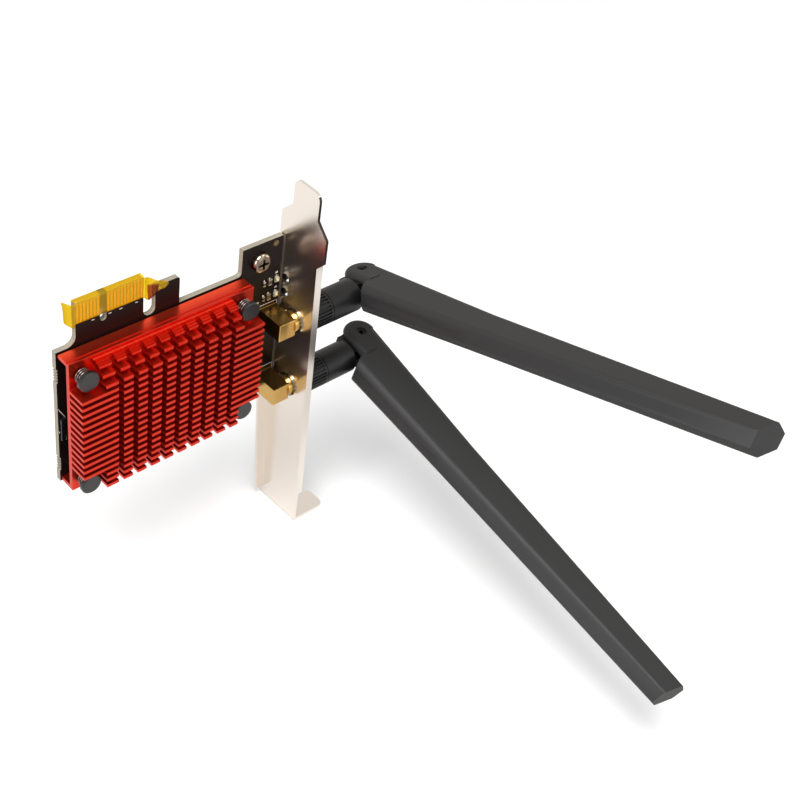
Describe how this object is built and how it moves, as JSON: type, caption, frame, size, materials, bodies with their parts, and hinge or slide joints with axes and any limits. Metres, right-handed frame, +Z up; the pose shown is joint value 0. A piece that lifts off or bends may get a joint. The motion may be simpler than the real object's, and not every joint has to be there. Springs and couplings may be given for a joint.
{
  "type": "pcie wifi card",
  "caption": "Desktop wireless network card with an edge connector, red finned heatsink, folded steel slot bracket and hinged paddle antennas.",
  "frame": {"origin": "outer corner of the bracket's foot bend, level with the component face of the board; Z = 0 is the foot's outer face", "axes": "+Z runs up the bracket from its foot to its tab and out of the edge connector, +X points out of the computer towards the antennas, +Y points to the board's plain back"},
  "size_m": [0.1081, 0.1476, 0.12],
  "materials": {
    "solder_mask": "dark brown-black solder mask",
    "gold": "gold plated",
    "polyimide_tape": "amber film",
    "red_anodised": "red anodised, satin",
    "tinned_steel": "tinned",
    "silicone_pad": "soft silicone",
    "black_nylon": "moulded nylon",
    "tin_contacts": "tin plated",
    "spring_steel": "drawn wire",
    "plated_steel": "bright nickel plate",
    "nickel_screw": "nickel plated",
    "jack_brass": "gold plated, turned",
    "white_insulator": "fluoropolymer",
    "coupling_brass": "turned",
    "black_abs": "satin moulded",
    "hinge_steel": "ground",
    "antenna_board": "glass fibre board with copper",
    "resistor_body": "ceramic chip",
    "capacitor_body": "ceramic chip",
    "led_body": "clear resin on white base"
  },
  "bodies": {
    "card": {"bracket": "plated_steel", "bracket_screw": "nickel_screw", "chip_capacitors": "capacitor_body", "chip_resistors": "resistor_body", "circuit_board": "solder_mask", "collar_lower": "black_abs", "collar_upper": "black_abs", "coupling_lower": "coupling_brass", "coupling_upper": "coupling_brass", "edge_contacts": "gold", "edge_tape": "polyimide_tape", "heatsink": "red_anodised", "jack_body_lower": "jack_brass", "jack_body_upper": "jack_brass", "jack_insert_lower": "white_insulator", "jack_insert_upper": "white_insulator", "jack_nut_lower": "jack_brass", "jack_nut_upper": "jack_brass", "jack_washer_lower": "jack_brass", "jack_washer_upper": "jack_brass", "module_shield": "tinned_steel", "pin_spring_1": "spring_steel", "pin_spring_2": "spring_steel", "pin_spring_3": "spring_steel", "pin_spring_4": "spring_steel", "push_pin_1": "black_nylon", "push_pin_2": "black_nylon", "push_pin_3": "black_nylon", "push_pin_4": "black_nylon", "service_connector": "black_nylon", "service_contacts": "tin_contacts", "status_leds": "led_body", "thermal_pad": "silicone_pad"},
    "base_lower": {"swivel_base_lower": "black_abs"},
    "blade_lower": {"blade_front_lower": "black_abs", "blade_rear_lower": "black_abs", "hinge_pin_lower": "hinge_steel", "antenna_strip_lower": "antenna_board"},
    "base_upper": {"swivel_base_upper": "black_abs"},
    "blade_upper": {"blade_front_upper": "black_abs", "blade_rear_upper": "black_abs", "hinge_pin_upper": "hinge_steel", "antenna_strip_upper": "antenna_board"}
  },
  "joints": [
    {"name": "swivel_lower", "type": "hinge", "parent": "card", "child": "base_lower", "pos_m": [0.01195, -0.00729, 0.05129], "axis": [1, 0, 0], "range_deg": [-15, 160]},
    {"name": "tilt_lower", "type": "hinge", "parent": "base_lower", "child": "blade_lower", "pos_m": [0.02962, -0.00501, 0.05174], "axis": [0, -0.1918, 0.9814], "range_deg": [0, 91]},
    {"name": "swivel_upper", "type": "hinge", "parent": "card", "child": "base_upper", "pos_m": [0.01105, -0.00729, 0.07523], "axis": [1, 0, 0], "range_deg": [-160, 15]},
    {"name": "tilt_upper", "type": "hinge", "parent": "base_upper", "child": "blade_upper", "pos_m": [0.02872, -0.00507, 0.07454], "axis": [0, 0.2957, 0.9553], "range_deg": [0, 89.4]}
  ]
}
